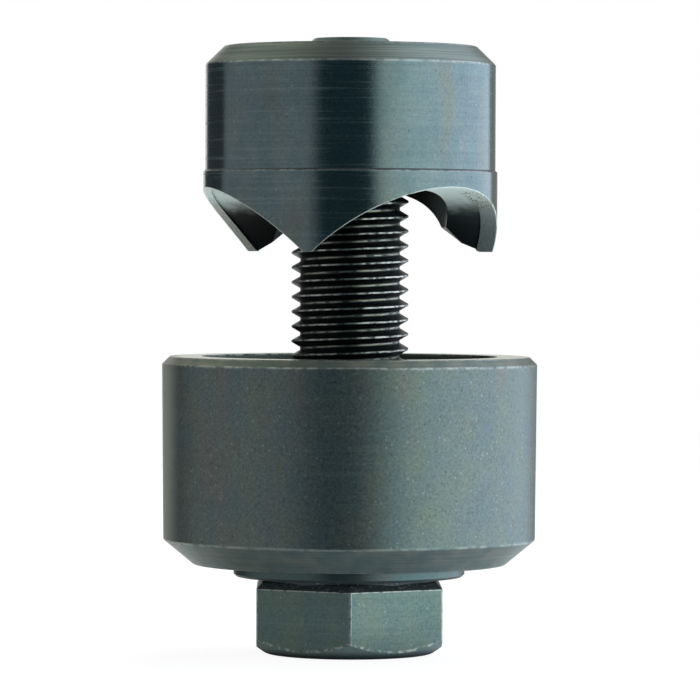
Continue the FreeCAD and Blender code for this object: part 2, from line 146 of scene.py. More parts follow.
class Tree:
    """Writes one node tree, value by value."""

    def __init__(self, owner: Material | World) -> None:
        """Start with an empty tree for a material or a world."""
        owner.use_nodes = True
        self.tree = owner.node_tree
        self.tree.nodes.clear()

    def node(self, kind: str) -> Node:
        """Add a node of one kind."""
        return self.tree.nodes.new(kind)

    def feed(self, socket: NodeSocket, value: Value | Colour) -> None:
        """Link a socket to another, or give it a plain value.

        Args:
            socket: The input to feed.
            value: A socket, a number or a colour.
        """
        if isinstance(value, NodeSocket):
            self.tree.links.new(value, socket)
        elif isinstance(value, tuple) and socket.type == "RGBA":
            socket.default_value = (*value, 1.0)
        else:
            socket.default_value = value

    def maths(self, operation: Maths, *values: Value) -> NodeSocket:
        """Work out one arithmetic step.

        Args:
            operation: Which step.
            values: One or two numbers or sockets.

        Returns:
            The result's socket.
        """
        node = self.node("ShaderNodeMath")
        node.operation = operation.value
        for socket, value in zip(node.inputs, values):
            self.feed(socket, value)
        return node.outputs[0]

    def plus(self, first: Value, second: Value) -> NodeSocket:
        """Add two values."""
        return self.maths(Maths.ADD, first, second)

    def less(self, first: Value, second: Value) -> NodeSocket:
        """Take the second value from the first."""
        return self.maths(Maths.LESS, first, second)

    def times(self, first: Value, second: Value) -> NodeSocket:
        """Multiply two values."""
        return self.maths(Maths.TIMES, first, second)

    def length(self, across: Value, along: Value) -> NodeSocket:
        """How long a line is, from its two parts at right angles."""
        return self.maths(Maths.ROOT, self.plus(self.times(across, across), self.times(along, along)))

    def vector(
        self, operation: VectorMaths, first: NodeSocket, second: Place = (0.0, 0.0, 0.0)
    ) -> NodeSocket:
        """Work out one step on vectors.

        Args:
            operation: Which step.
            first: The vector.
            second: A plain vector, where the step has two.

        Returns:
            The result's socket.
        """
        node = self.node("ShaderNodeVectorMath")
        node.operation = operation.value
        self.feed(node.inputs[0], first)
        node.inputs[1].default_value = second
        return next(socket for socket in node.outputs if socket.enabled)

    def scaled(self, vector: NodeSocket, scale: Place) -> NodeSocket:
        """Stretch a vector by its own factor along each axis."""
        return self.vector(VectorMaths.TIMES, vector, scale)

    def split(self, vector: NodeSocket) -> tuple[NodeSocket, NodeSocket, NodeSocket]:
        """Take a vector apart into its three parts."""
        node = self.node("ShaderNodeSeparateXYZ")
        self.feed(node.inputs[0], vector)
        return node.outputs[0], node.outputs[1], node.outputs[2]

    def share(self, value: Value, low: float, high: float) -> NodeSocket:
        """How far a value has come on its way from low to high, from 0 to 1."""
        node = self.node("ShaderNodeMapRange")
        self.feed(node.inputs["Value"], value)
        node.inputs["From Min"].default_value = low
        node.inputs["From Max"].default_value = high
        return node.outputs["Result"]

    def rise(self, value: Value, low: float, high: float) -> NodeSocket:
        """A smooth step: 0 below low and 1 above high, or the other way round if low is higher."""
        node = self.node("ShaderNodeMapRange")
        node.interpolation_type = "SMOOTHSTEP"
        falls = low > high
        self.feed(node.inputs["Value"], value)
        node.inputs["From Min"].default_value = min(low, high)
        node.inputs["From Max"].default_value = max(low, high)
        node.inputs["To Min"].default_value = 1.0 if falls else 0.0
        node.inputs["To Max"].default_value = 0.0 if falls else 1.0
        return node.outputs["Result"]

    def between(self, value: Value, low: float, high: float, soft: float) -> NodeSocket:
        """A smooth plateau: 1 from low to high, and 0 beyond the soft margins outside them."""
        up = self.rise(value, low - soft, low)
        down = self.rise(value, high + soft, high)
        return self.times(up, down)

    def noise(self, vector: NodeSocket, scale: float, detail: float = 2.0) -> NodeSocket:
        """Cloudy noise around one half.

        Args:
            vector: Where it is read.
            scale: Features for each unit of the vector.
            detail: Octaves of finer noise.

        Returns:
            The noise's factor.
        """
        node = self.node("ShaderNodeTexNoise")
        self.feed(node.inputs["Vector"], vector)
        node.inputs["Scale"].default_value = scale
        node.inputs["Detail"].default_value = detail
        return node.outputs["Fac"]

    def cells(self, vector: NodeSocket, scale: float) -> tuple[NodeSocket, NodeSocket]:
        """Scattered points.

        Args:
            vector: Where they are read.
            scale: Points for each unit of the vector.

        Returns:
            The distance to the nearest point, and that point's random number.
        """
        node = self.node("ShaderNodeTexVoronoi")
        self.feed(node.inputs["Vector"], vector)
        node.inputs["Scale"].default_value = scale
        chance = self.split(node.outputs["Color"])[0]
        return node.outputs["Distance"], chance

    def ramp(self, factor: Value, stops: Stops) -> NodeSocket:
        """A colour ramp through the given stops."""
        node = self.node("ShaderNodeValToRGB")
        elements = node.color_ramp.elements
        for _ in stops[2:]:
            elements.new(0.5)
        for element, (position, colour) in zip(elements, stops):
            element.position = position
            element.color = (*colour, 1.0)
        self.feed(node.inputs["Fac"], factor)
        return node.outputs["Color"]

    def blend(self, factor: Value, first: Value | Colour, second: Value | Colour) -> NodeSocket:
        """Mix two colours."""
        node = self.node("ShaderNodeMix")
        node.data_type = "RGBA"
        self.feed(node.inputs["Factor"], factor)
        self.feed(node.inputs["A"], first)
        self.feed(node.inputs["B"], second)
        return node.outputs["Result"]

    def towards(self, first: Value, second: Value, factor: Value) -> Value:
        """Go from one number towards another."""
        if first == second:
            return first
        change = self.times(self.less(second, first), factor)
        return self.plus(first, change)

    def tint(self, colour: Value | Colour, factor: Value) -> NodeSocket:
        """Multiply a colour by a number."""
        node = self.node("ShaderNodeVectorMath")
        node.operation = VectorMaths.SCALED.value
        self.feed(node.inputs[0], colour)
        self.feed(node.inputs["Scale"], factor)
        return node.outputs[0]

    def mixed(self, factor: Value, first: NodeSocket, second: NodeSocket) -> NodeSocket:
        """Mix two shaders."""
        node = self.node("ShaderNodeMixShader")
        for socket, value in zip(node.inputs, (factor, first, second)):
            self.feed(socket, value)
        return node.outputs[0]

    def looked_at(self, rays: Node) -> NodeSocket:
        """1 for rays from the camera, also through glass, and 0 for light and reflections."""
        return self.maths(
            Maths.HIGHEST, rays.outputs["Is Camera Ray"], rays.outputs["Is Transmission Ray"]
        )

    def end(self, kind: str, shader: NodeSocket) -> None:
        """Wire a shader into the tree's output."""
        self.feed(self.node(kind).inputs["Surface"], shader)


class Finish(Tree):
    """Writes the node tree of one material, in millimetres on Object coordinates."""

    def __init__(self, name: str, slant: float = 0.37) -> None:
        """Start a material with one shader and the coordinates that the finishes share.

        Args:
            name: Name of the material.
            slant: How fast the turning lines follow each other along a flat face, against a wall.
        """
        self.slant = slant
        self.material: Material = bpy.data.materials.new(name)
        super().__init__(self.material)
        self.shader = self.node("ShaderNodeBsdfPrincipled")
        self.end("ShaderNodeOutputMaterial", self.shader.outputs["BSDF"])
        coordinates = self.node("ShaderNodeTexCoord")
        self.place = self.scaled(coordinates.outputs["Object"], (PER_MM, PER_MM, PER_MM))
        self.x, self.y, self.z = self.split(self.place)
        self.lean = self.split(coordinates.outputs["Normal"])[2]
        self.radius = self.length(self.x, self.y)

    def facing(self, side: Side) -> NodeSocket:
        """1 on the surfaces that face one way, and 0 elsewhere."""
        low, high = side.value
        return self.between(self.lean, low, high, 0.04)

    def turning(self, scale: float) -> NodeSocket:
        """Noise drawn out into lines round the axis, on walls, bevels and flats alike.

        Args:
            scale: Lines for each millimetre.

        Returns:
            The noise, less one half.
        """
        level = self.plus(self.z, self.times(self.radius, self.slant))
        join = self.node("ShaderNodeCombineXYZ")
        for socket, value, stretch in zip(join.inputs, (self.x, self.y, level), (0.06, 0.06, scale)):
            self.feed(socket, self.times(value, stretch))
        return self.less(self.noise(join.outputs[0], 1.0, 3.0), 0.5)

    def ragged(self, scale: float, low: float = 0.36, high: float = 0.6) -> NodeSocket:
        """Patches that break up a worn line."""
        return self.rise(self.noise(self.place, scale, 4.0), low, high)

    def near_zero(self, value: Value, width: float) -> NodeSocket:
        """1 where a value is about 0, falling to 0 at the given width."""
        return self.rise(self.maths(Maths.SIZE, value), width, 0.3 * width)

    def worn(self, edges: list[Edge]) -> NodeSocket:
        """How bare the turned edges are.

        Args:
            edges: The circles that wear.

        Returns:
            The strength of the wear, broken up along each edge.
        """
        total: Value = 0.0
        for edge in edges:
            out = self.less(self.radius, edge.radius)
            up = self.less(self.z, edge.height)
            near = self.near_zero(self.length(out, up), edge.width)
            total = self.maths(Maths.HIGHEST, total, self.times(near, edge.strength))
        return self.times(total, self.ragged(1.3))


@dataclass
class Coat:
    """The values of a surface that is being finished.

    Attributes:
        colour: Colour socket.
        roughness: Roughness socket.
        height: Relief in millimetres.
        metal: How metallic it is; a dusty place is less so, as are places with painted light or shade.
    """

    colour: Value
    roughness: Value
    height: Value
    metal: Value = 1.0


def blackened(tree: Finish, finish: BlackenedSteel) -> Coat:
    """The plain blackened surface: tones, stains, turning lines, grain, specks and pits.

    Args:
        tree: The material's tree.
        finish: The finish to write.

    Returns:
        The surface's values, for bevels and wear to be laid over.
    """
    upright = tree.scaled(tree.place, (1.0, 1.0, 0.3))
    mottled = tree.scaled(tree.place, (1.0, 1.0, 0.6))
    colour = tree.ramp(tree.rise(tree.noise(mottled, 0.4, 5.0), 0.28, 0.72), finish.tones)
    stained = tree.times(tree.rise(tree.noise(upright, 0.25, 5.0), 0.5, 0.72), finish.stained)
    colour = tree.blend(stained, colour, finish.stain)
    fine = tree.turning(4.5)
    coarse = tree.turning(1.3)
    lines = tree.plus(fine, tree.times(coarse, 0.5))
    grain = tree.less(tree.noise(tree.place, 4.0, 3.0), 0.5)
    lined = tree.plus(1.0, tree.times(lines, finish.line_tone))
    shade = tree.plus(lined, tree.times(grain, finish.grain))
    colour = tree.tint(colour, shade)
    distance, chance = tree.cells(tree.place, 1.9)
    spot = tree.rise(distance, 0.3, 0.14)
    speck = tree.times(spot, tree.rise(chance, 1.0 - finish.specks, 1.02 - finish.specks))
    pit = tree.times(spot, tree.rise(chance, finish.specks, finish.specks - 0.02))
    colour = tree.blend(tree.times(speck, 0.35), colour, finish.bare)
    colour = tree.blend(tree.times(pit, 0.4), colour, finish.pitted)
    height = tree.plus(tree.times(lines, finish.line_relief), tree.times(grain, finish.grain_relief))
    haze = tree.times(tree.rise(lines, 0.03, 0.2), finish.line_haze)
    roughness = tree.plus(tree.plus(finish.roughness, haze), tree.times(grain, 0.1))
    return Coat(colour, roughness, height)


def laid_over(
    tree: Finish, coat: Coat, mask: Value, colour: Value | Colour, roughness: float, metal: Value = 1.0
) -> Coat:
    """Lay another finish over part of a surface.

    Args:
        tree: The material's tree.
        coat: The surface so far.
        mask: Where the new finish shows.
        colour: Its colour.
        roughness: Its roughness.
        metal: How metallic it is.

    Returns:
        The surface with that finish over it.
    """
    mixed = tree.blend(mask, coat.colour, colour)
    return Coat(
        mixed,
        tree.towards(coat.roughness, roughness, mask),
        coat.height,
        tree.towards(coat.metal, metal, mask),
    )


def finished(tree: Finish, coat: Coat, smear: float = 0.0) -> Material:
    """Wire a surface's values into its shader.

    Args:
        tree: The material's tree.
        coat: The surface's values.
        smear: How much reflections are drawn out along the axis, across the turning lines.

    Returns:
        The finished material.
    """
    bump = tree.node("ShaderNodeBump")
    bump.inputs["Distance"].default_value = MM
    tree.feed(bump.inputs["Height"], coat.height)
    tree.feed(tree.shader.inputs["Base Color"], coat.colour)
    tree.feed(tree.shader.inputs["Roughness"], coat.roughness)
    tree.feed(tree.shader.inputs["Normal"], bump.outputs["Normal"])
    tree.feed(tree.shader.inputs["Metallic"], coat.metal)
    tree.shader.inputs["Anisotropic"].default_value = smear
    tree.shader.inputs["Anisotropic Rotation"].default_value = SMEAR_UPRIGHT
    return tree.material


def dress(piece: Object, material: Material) -> None:
    """Give every material slot of a frame node one finish."""
    for slot in piece.material_slots:
        slot.material = material
    LOG.info("%s: %s, %d faces", piece.name, material.name, len(piece.data.polygons))


def heights(node: str) -> tuple[float, float]:
    """The lowest and highest point of a frame node, in millimetres."""
    low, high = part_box(node)
    return low.z * PER_MM, high.z * PER_MM


def reach(node: str) -> float:
    """The largest radius of a turned frame node, in millimetres."""
    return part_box(node)[1].x * PER_MM


@dataclass
class Punch:
    """The toothed punch: a turned body with three hollows ground between its teeth.

    Attributes:
        top_bevel: Height of the bevel round its top.
        bevel_reach: How far the bevel goes in.
        land_height: Height of the cutting land above the tooth tips.
        neck: How much slimmer the body is above the land.
        throat_radius: Radius of the hollow inside the cutting edge.
        hollow_apex: Height of the ground cones' shared apex above the tips.
        hollow_tilt: Slope of each cone's axis below level, in degrees.
        hollow_half_angle: Half angle of the cones, in degrees.
        first_hollow: Direction of the first hollow, in degrees.
        teeth: How many teeth there are.
        edge_land: Mean width of the ground land behind the cutting edge.
        land_bias: How much wider the land is at +X, and narrower at -X.
        hollow_painted_shade: Painted shade in the hollows towards the tips, at the left and at the
            right.
        hollow_painted_light: Painted light high up in the hollows, on their ground, dusty surface.
        land_tones: Colours of the ground land, at the left and at the right.
        throat_painted_shade: Painted shade in the hollow inside the cutting edge.
        freckled: Colour of the freckles above the right tooth.
        bevel_tones: Colours of the turning lines on the top bevel.
        step_dark: Colour of the step above the cutting land.
        rim_wear: How far the wear reaches from the hollows' edges.
        hollow_shade_top: Height above the tips at which the painted shade ends.
        bright_foot: Height above the tips at which the painted light in the hollows is full.
        finish: Finish of the plain surface.
    """

    top_bevel: float = 1.9
    bevel_reach: float = 1.95
    land_height: float = 8.27
    neck: float = 0.2
    throat_radius: float = 9.9
    hollow_apex: float = 5.4
    hollow_tilt: float = 50.8
    hollow_half_angle: float = 54.65
    first_hollow: float = -46.5
    teeth: int = 3
    edge_land: float = 1.28
    land_bias: float = 0.42
    rim_wear: float = 0.16
    hollow_shade_top: float = 3.6
    bright_foot: float = 5.7
    hollow_painted_shade: Tones = ((0.003, 0.008, 0.011), (0.035, 0.055, 0.06))
    hollow_painted_light: Colour = (0.64, 0.76, 0.74)
    land_tones: Tones = ((0.46, 0.51, 0.46), (0.29, 0.35, 0.35))
    throat_painted_shade: Colour = (0.03, 0.04, 0.04)
    freckled: Colour = (0.17, 0.17, 0.08)
    bevel_tones: Stops = ((0.0, (0.165, 0.215, 0.195)), (1.0, (0.29, 0.335, 0.295)))
    step_dark: Colour = (0.09, 0.11, 0.11)
    finish: BlackenedSteel = BlackenedSteel(
        name="punch_blackened",
        tones=((0.0, (0.17, 0.24, 0.25)), (0.5, (0.19, 0.26, 0.27)), (1.0, (0.21, 0.27, 0.27))),
        stain=(0.22, 0.235, 0.2),
        roughness=0.21,
        line_relief=0.002,
        line_tone=0.35,
        line_haze=0.14,
        grain=0.6,
        specks=0.05,
        smear=0.8,
    )

    def edges(self, radius: float, tip: float, top: float) -> list[Edge]:
        """The turned edges that are worn bright.

        Args:
            radius: Radius of the cutting land.
            tip: Height of the tooth tips.
            top: Height of the top face.

        Returns:
            The edges of the top bevel and of the cutting land.
        """
        body = radius - self.neck
        land_top = tip + self.land_height
        return [
            Edge(body, top - self.top_bevel, 0.22, 0.5),
            Edge(body - self.bevel_reach, top, 0.3, 0.5),
            Edge(radius, land_top - self.neck, 0.16, 0.3),
        ]

    def hollow_rim(self, tree: Finish, tip: float, width: float) -> NodeSocket:
        """How near a point of the wall is to the edge of a hollow.

        Args:
            tree: The material's tree.
            tip: Height of the tooth tips.
            width: How far the mask reaches from the edge.

        Returns:
            1 at the hollows' edges and 0 beyond the width.
        """
        offset = tree.vector(VectorMaths.LESS, tree.place, (0.0, 0.0, tip + self.hollow_apex))
        distance = tree.vector(VectorMaths.LENGTH, offset)
        square = tree.times(distance, distance)
        tilt = math.radians(self.hollow_tilt)
        half = math.radians(self.hollow_half_angle)
        total: Value = 0.0
        for index in range(self.teeth):
            turn = math.radians(self.first_hollow + 360.0 * index / self.teeth)
            axis = (math.cos(turn) * math.cos(tilt), math.sin(turn) * math.cos(tilt), -math.sin(tilt))
            along = tree.vector(VectorMaths.ALONG, offset, axis)
            inside = tree.less(square, tree.times(along, along))
            away = tree.maths(Maths.ROOT, tree.maths(Maths.HIGHEST, inside, 0.0))
            gap = tree.less(tree.times(away, math.cos(half)), tree.times(along, math.sin(half)))
            total = tree.maths(Maths.HIGHEST, total, tree.near_zero(gap, width))
        return total

    def hollows(self, tree: Finish, coat: Coat, tip: float, turned: NodeSocket) -> Coat:
        """Finish the ground hollows with painted light high up and painted shade towards the tips.

        Args:
            tree: The material's tree.
            coat: The surface so far.
            tip: Height of the tooth tips.
            turned: 0 at the left side of the punch and 1 at its right.

        Returns:
            The surface with its hollows finished.
        """
        wander = tree.less(tree.noise(tree.place, 0.8, 3.0), 0.5)
        level = tree.plus(tree.z, tree.times(wander, 1.2))
        # Painted light high in the hollows and painted shade towards the tips, darker at the left
        bright = tree.rise(level, tip + self.hollow_shade_top, tip + self.bright_foot)
        black = tree.blend(turned, *self.hollow_painted_shade)
        inner = tree.blend(bright, black, self.hollow_painted_light)
        dusty = tree.less(1.0, tree.times(bright, 0.45))
        return laid_over(tree, coat, tree.facing(Side.UNDERCUT), inner, 0.5, dusty)

    def throat(self, tree: Finish, coat: Coat, top: float) -> Coat:
        """Paint shade into the throat inside the cutting edge, and into the bore.

        Args:
            tree: The material's tree.
            coat: The surface so far.
            top: Height of the top face.

        Returns:
            The surface with its throat finished.
        """
        inside = tree.rise(tree.radius, self.throat_radius + 0.1, self.throat_radius + 0.05)
        inside = tree.times(inside, tree.rise(tree.z, top - 1.0, top - 1.5))
        # Painted shade in the throat and the bore
        return laid_over(tree, coat, inside, self.throat_painted_shade, 0.4)

    def land(self, tree: Finish, coat: Coat, tip: float, radius: float, turned: NodeSocket) -> Coat:
        """Finish the ground land behind the cutting edge, and freckle it above the right tooth.

        Args:
            tree: The material's tree.
            coat: The surface so far.
            tip: Height of the tooth tips.
            radius: Radius of the cutting land.
            turned: 0 at the left side of the punch and 1 at its right.

        Returns:
            The surface with its land finished.
        """
        marks = tree.noise(tree.scaled(tree.place, (6.0, 6.0, 0.4)), 1.0, 3.0)
        # Painted light: the ground land grows lighter towards the top on the right side
        painted_light = tree.times(turned, tree.rise(tree.z, tip + 1.5, tip + 6.0))
        shade = tree.plus(tree.plus(0.45, marks), tree.times(painted_light, 0.5))
        pale = tree.tint(tree.blend(turned, *self.land_tones), shade)
        off_centre = tree.length(tree.plus(tree.x, self.land_bias), tree.y)
        relief = radius - self.edge_land
        outer = tree.rise(off_centre, relief - 0.02, relief + 0.02)
        outer = tree.times(outer, tree.rise(tree.z, tip + 5.6, tip + 4.2))
        hollow = tree.facing(Side.UNDERCUT)
        coat = laid_over(tree, coat, tree.times(hollow, outer), pale, 0.4, 0.5)
        spots = tree.rise(tree.noise(tree.place, 4.6, 3.0), 0.52, 0.58)
        spots = tree.times(spots, tree.between(tree.z, tip + 4.3, tip + self.bright_foot + 0.2, 0.3))
        spots = tree.times(spots, tree.rise(tree.radius, radius - 2.6, radius - 2.0))
        spots = tree.times(tree.times(hollow, turned), spots)
        return laid_over(tree, coat, spots, self.freckled, 0.5, 0.4)

    def material(self) -> Material:
        """Write the punch's finish.

        Returns:
            Its material.
        """
        tip, top = heights("punch")
        radius = reach("punch")
        tree = Finish(self.finish.name)
        coat = blackened(tree, self.finish)
        bevel = tree.facing(Side.UPPER_BEVEL)
        olive = tree.ramp(tree.rise(tree.turning(12.0), -0.16, 0.16), self.bevel_tones)
        coat = laid_over(tree, coat, bevel, olive, 0.42)
        land_top = tip + self.land_height
        step = tree.between(tree.z, land_top - self.neck - 0.05, land_top + 0.05, 0.02)
        coat = laid_over(tree, coat, tree.times(bevel, step), self.step_dark, 0.4)
        turned = tree.rise(tree.x, -0.4 * radius, 0.4 * radius)
        coat = self.hollows(tree, coat, tip, turned)
        coat = self.throat(tree, coat, top)
        coat = self.land(tree, coat, tip, radius, turned)
        wall = tree.rise(tree.radius, radius - 0.2, radius - 0.12)
        rim = tree.times(self.hollow_rim(tree, tip, self.rim_wear), wall)
        bare = tree.maths(
            Maths.HIGHEST,
            tree.worn(self.edges(radius, tip, top)),
            tree.times(rim, tree.ragged(1.1)),
        )
        coat = laid_over(tree, coat, bare, self.finish.bare, 0.3)
        return finished(tree, coat, self.finish.smear)

    def build(self, nodes: dict[str, Object]) -> None:
        """Dress the punch."""
        dress(nodes["punch"], self.material())


@dataclass
class Die:
    """The cup-shaped die.

    Attributes:
        top_bevel: Bevel round the cutting face.
        base_bevel: Height of the bevel round the base.
        base_radius: Radius of the flat under the die.
        taper: How much smaller the outside is at its lower edge.
        mouth_radius: Radius of the cup's mouth.
        bevel_tones: Colours of the streaks on the top bevel.
        base_tones: Colours of the streaks on the base bevel.
        cup_painted_shade: Painted shade inside the cup, in two tones.
        face_tones: Colours of the turning lines on the cutting face.
        painted_light: Painted light along the side's left edge.
        finish: Finish of the plain surface.
    """

    top_bevel: float = 0.78
    base_bevel: float = 2.5
    base_radius: float = 15.95
    taper: float = 0.16
    mouth_radius: float = 15.1
    bevel_tones: Stops = (
        (0.0, (0.14, 0.18, 0.16)),
        (0.5, (0.18, 0.21, 0.18)),
        (1.0, (0.24, 0.25, 0.2)),
    )
    base_tones: Stops = (
        (0.0, (0.165, 0.23, 0.225)),
        (0.5, (0.2, 0.262, 0.25)),
        (1.0, (0.255, 0.29, 0.255)),
    )
    cup_painted_shade: Tones = ((0.07, 0.09, 0.08), (0.14, 0.165, 0.14))
    face_tones: Stops = ((0.0, (0.46, 0.5, 0.44)), (1.0, (0.64, 0.67, 0.6)))
    painted_light: Colour = (0.34, 0.36, 0.31)
    finish: BlackenedSteel = BlackenedSteel(
        name="die_blackened",
        tones=((0.0, (0.174, 0.23, 0.235)), (0.5, (0.187, 0.238, 0.227)), (1.0, (0.201, 0.246, 0.214))),
        stain=(0.242, 0.222, 0.21),
        roughness=0.4,
        line_relief=0.001,
        line_tone=0.15,
        line_haze=0.04,
        grain=1.0,
        specks=0.2,
        stained=0.55,
    )

    def edges(self, radius: float, base: float, top: float) -> list[Edge]:
        """The turned edges that are worn bright.

        Args:
            radius: Outer radius of the die.
            base: Height of its base.
            top: Height of its cutting face.

        Returns:
            The edges of its two bevels and of its mouth.
        """
        side = radius - self.taper
        return [
            Edge(radius, top - self.top_bevel, 0.22, 0.6),
            Edge(radius - self.top_bevel, top, 0.2, 0.5),
            Edge(self.mouth_radius, top, 0.25, 0.7),
            Edge(side, base + self.base_bevel, 0.25, 0.45),
            Edge(self.base_radius, base, 0.3, 0.4),
        ]

    def material(self) -> Material:
        """Write the die's finish.

        Returns:
            Its material.
        """
        base, top = heights("die")
        radius = reach("die")
        tree = Finish(self.finish.name)
        coat = blackened(tree, self.finish)
        streaks = tree.plus(tree.turning(5.0), tree.noise(tree.place, 0.5, 3.0))
        streaks = tree.rise(streaks, 0.3, 0.75)
        olive = tree.ramp(streaks, self.bevel_tones)
        coat = laid_over(tree, coat, tree.facing(Side.UPPER_BEVEL), olive, 0.4)
        teal = tree.ramp(streaks, self.base_tones)
        coat = laid_over(tree, coat, tree.facing(Side.UNDERCUT), teal, 0.4)
        # Painted shade inside the cup
        inside = tree.rise(tree.radius, self.mouth_radius + 0.35, self.mouth_radius + 0.3)
        painted_shade_mix = tree.blend(tree.noise(tree.place, 0.5, 4.0), *self.cup_painted_shade)
        coat = laid_over(tree, coat, inside, painted_shade_mix, 0.4)
        face = tree.times(tree.facing(Side.UP), tree.rise(tree.z, top - 0.1, top - 0.02))
        turned = tree.plus(tree.turning(9.0), tree.times(tree.noise(tree.place, 0.2), 0.3))
        rubbed = tree.ramp(tree.rise(turned, -0.1, 0.4), self.face_tones)
        coat = laid_over(tree, coat, face, rubbed, 0.3)
        # Painted light along the side's left edge, with less metal
        edge = tree.rise(tree.x, -0.88 * radius, -0.975 * radius)
        coat = laid_over(tree, coat, edge, self.painted_light, 0.45, 0.2)
        coat = laid_over(tree, coat, tree.worn(self.edges(radius, base, top)), self.finish.bare, 0.3)
        return finished(tree, coat)

    def build(self, nodes: dict[str, Object]) -> None:
        """Dress the die."""
        dress(nodes["die"], self.material())


@dataclass
class DrawScrew:
    """The draw screw: hex head, shank and thread.

    Attributes:
        flats: Width of the hex head across its flats.
        corner_radius: Radius at which the head's corners start to wear.
        head_height: Height of the hex head.
        top_bevel: Bevel along the head's upper edges.
        rim_inset: How far the flat circle under the head lies inside the flats.
        rim_angle: Slope of the chamfer under the head, in degrees.
        thread_foot: Height at which the thread starts.
        pitch: Rise of the thread in one turn.
        crest: Where the crest lies in the thread's turn, from 0 to 1.
        root: Where the root lies in the thread's turn, from 0 to 1.
        head_painted_shade: Painted shade on the head's upper side, under the bearing.
        chamfer_painted_tones: Painted shade at the foot of the chamfer under the head, and painted
            light above it.
        flank_oxide_and_shade: Colour of the thread's flanks: black oxide, darkened further as painted
            shade.
        root_tone: Colour of the pale line along the thread's roots.
        crest_tone: Colour of the thread's rubbed crests.
        finish: Finish of the plain surface.
    """

    flats: float = 18.82
    corner_radius: float = 10.76
    head_height: float = 7.5
    top_bevel: float = 0.6
    rim_inset: float = 0.92
    rim_angle: float = 35.0
    thread_foot: float = 18.5
    pitch: float = 1.5
    crest: float = 0.733
    root: float = 0.233
    head_painted_shade: Colour = (0.09, 0.12, 0.125)
    chamfer_painted_tones: Tones = ((0.1, 0.13, 0.135), (0.42, 0.55, 0.53))
    flank_oxide_and_shade: Colour = (0.045, 0.055, 0.055)
    root_tone: Colour = (0.36, 0.36, 0.29)
    crest_tone: Colour = (0.6, 0.62, 0.57)
    finish: BlackenedSteel = BlackenedSteel(
        name="screw_blackened",
        tones=((0.0, (0.148, 0.22, 0.214)), (0.5, (0.162, 0.235, 0.21)), (1.0, (0.182, 0.246, 0.202))),
        stain=(0.205, 0.235, 0.175),
        roughness=0.3,
        line_relief=0.001,
        line_tone=0.4,
        line_haze=0.0,
        grain=0.8,
        specks=0.08,
    )

    def head(self, tree: Finish, coat: Coat) -> Coat:
        """Wear the head's edges, paint shade on its upper side and light on the chamfer under it.

        Args:
            tree: The material's tree.
            coat: The surface so far.

        Returns:
            The surface with its head finished.
        """
        below = tree.rise(tree.z, self.thread_foot, self.thread_foot - 0.1)
        upper_edge = self.head_height - self.top_bevel
        # Painted shade on the head's upper side under the bearing, flecked with bare metal
        shaded = tree.times(tree.rise(tree.z, upper_edge, upper_edge + 0.15), below)
        flecks = tree.times(tree.ragged(2.6, 0.56, 0.66), 0.5)
        painted_shade_mix = tree.blend(flecks, self.head_painted_shade, self.finish.bare)
        coat = laid_over(tree, coat, shaded, painted_shade_mix, 0.45, 0.3)
        corner = tree.rise(tree.radius, self.corner_radius, self.corner_radius + 0.05)
        line = tree.near_zero(tree.less(tree.z, upper_edge), 0.16)
        slope = math.radians(self.rim_angle)
        foot = self.flats / 2 - self.rim_inset
        outward = tree.less(tree.radius, foot)
        cone = tree.less(tree.times(tree.z, math.cos(slope)), tree.times(outward, math.sin(slope)))
        arc = tree.times(tree.near_zero(cone, 0.3), tree.rise(tree.lean, -0.5, -0.2))
        arc = tree.times(arc, tree.ragged(2.2, 0.45, 0.6))
        worn = tree.maths(Maths.HIGHEST, tree.times(corner, 0.8), line)
        worn = tree.times(worn, tree.ragged(1.6, 0.3, 0.55))
        worn = tree.times(tree.maths(Maths.HIGHEST, worn, arc), below)
        # Painted shade at the chamfer's foot, growing into painted light higher up
        underside = tree.times(tree.rise(tree.lean, -0.4, -0.7), below)
        chamfer = tree.blend(tree.rise(tree.z, 0.1, 1.0), *self.chamfer_painted_tones)
        coat = laid_over(tree, coat, underside, chamfer, 0.4)
        return laid_over(tree, coat, worn, self.finish.bare, 0.34)

    def thread(self, tree: Finish, coat: Coat) -> Coat:
        """Blacken the thread's flanks with painted shade, rub its crests bright and line its roots
        pale.

        Args:
            tree: The material's tree.
            coat: The surface so far.

        Returns:
            The surface with its thread finished.
        """
        threaded = tree.between(tree.z, self.thread_foot, heights("draw_screw")[1] - 0.95, 0.1)
        # The flanks' black oxide, darkened further as painted shade in the grooves
        coat = laid_over(tree, coat, threaded, self.flank_oxide_and_shade, 0.4)
        turn = tree.maths(Maths.OVER, tree.maths(Maths.ANGLE, tree.y, tree.x), 2 * math.pi)
        helix = tree.less(tree.maths(Maths.OVER, tree.z, self.pitch), turn)
        wander = tree.less(tree.noise(tree.place, 1.1, 3.0), 0.5)
        phase = tree.plus(tree.maths(Maths.PART, helix), tree.times(wander, 0.09))
        crest = tree.near_zero(tree.less(phase, self.crest), 0.075)
        root = tree.near_zero(tree.less(phase, self.root), 0.065)
        crest = tree.times(crest, tree.times(threaded, tree.ragged(1.4, 0.3, 0.62)))
        root = tree.times(root, tree.times(threaded, tree.ragged(1.0, 0.34, 0.55)))
        coat = laid_over(tree, coat, root, self.root_tone, 0.36)
        return laid_over(tree, coat, crest, self.crest_tone, 0.3)

    def material(self) -> Material:
        """Write the screw's finish.

        Returns:
            Its material.
        """
        tree = Finish(self.finish.name, slant=0.0)
        coat = blackened(tree, self.finish)
        return finished(tree, self.thread(tree, self.head(tree, coat)))

    def build(self, nodes: dict[str, Object]) -> None:
        """Dress the screw."""
        dress(nodes["draw_screw"], self.material())


